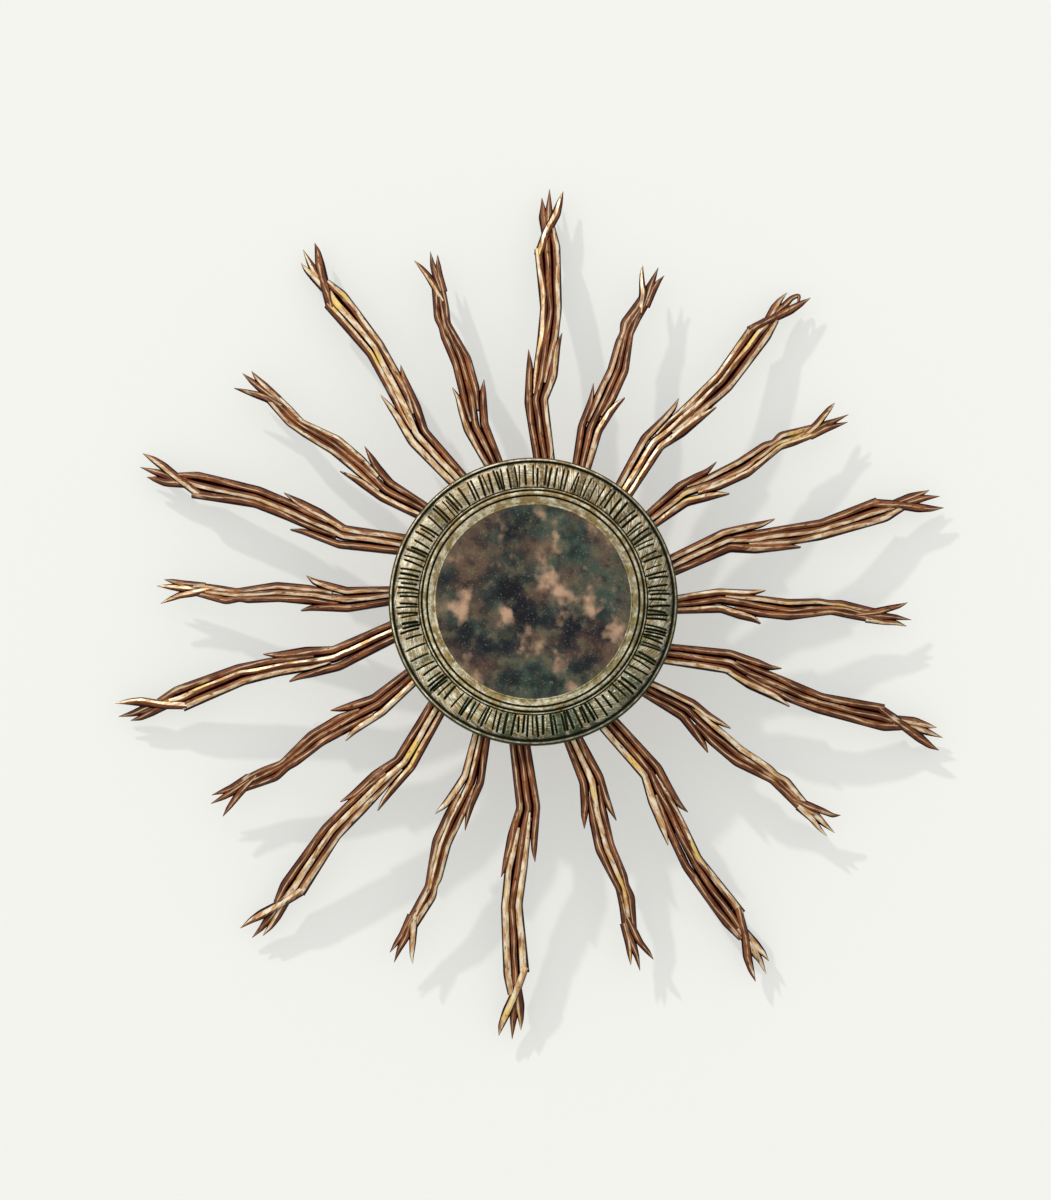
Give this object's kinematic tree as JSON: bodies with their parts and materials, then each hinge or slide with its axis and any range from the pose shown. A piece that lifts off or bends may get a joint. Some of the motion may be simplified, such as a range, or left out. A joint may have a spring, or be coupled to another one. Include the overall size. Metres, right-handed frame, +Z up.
{
  "type": "sunburst mirror",
  "caption": "Round wall mirror in a carved green frame, with alternating long and short carved gilt wood rays that bow back to the wall.",
  "frame": {"origin": "on the wall plane, straight behind the centre of the glass, at the centre of the drum's back face", "axes": "+Z up, -Y out of the wall, the way the mirror faces, +X to the right seen from the front"},
  "size_m": [0.9318, 0.1055, 0.9605],
  "materials": {
    "gilt_wood": "carved wood, worn gilding over dark red bole",
    "green_wood": "carved wood, green patina with rubbed pale gilt edges",
    "silvered_glass": "aged silvered glass",
    "hardboard": "bare hardboard",
    "plywood": "bare plywood",
    "turned_wood": "stained turned wood",
    "steel": "plain steel",
    "brass": "dull brass"
  },
  "bodies": {
    "mirror": {"carved_ring": "green_wood", "mirror_glass": "silvered_glass", "backing_board": "hardboard", "glazing_points": "steel", "ray_disc": "plywood", "standoff_drum": "turned_wood", "ray_screws": "steel", "ring_screws": "steel", "drum_screws": "steel", "hanger_strap": "brass", "hanger_screws": "brass", "large_ray_01": "gilt_wood", "large_ray_02": "gilt_wood", "large_ray_03": "gilt_wood", "large_ray_04": "gilt_wood", "large_ray_05": "gilt_wood", "large_ray_06": "gilt_wood", "large_ray_07": "gilt_wood", "large_ray_08": "gilt_wood", "large_ray_09": "gilt_wood", "large_ray_10": "gilt_wood", "small_ray_01": "gilt_wood", "small_ray_02": "gilt_wood", "small_ray_03": "gilt_wood", "small_ray_04": "gilt_wood", "small_ray_05": "gilt_wood", "small_ray_06": "gilt_wood", "small_ray_07": "gilt_wood", "small_ray_08": "gilt_wood", "small_ray_09": "gilt_wood", "small_ray_10": "gilt_wood"},
    "hanging_ring": {"hanging_ring": "brass"}
  },
  "joints": [
    {"name": "hanging_ring_swing", "type": "hinge", "parent": "mirror", "child": "hanging_ring", "pos_m": [0, -0.00418, 0.1155], "axis": [1, 0, 0], "range_deg": [-120, 90]}
  ]
}
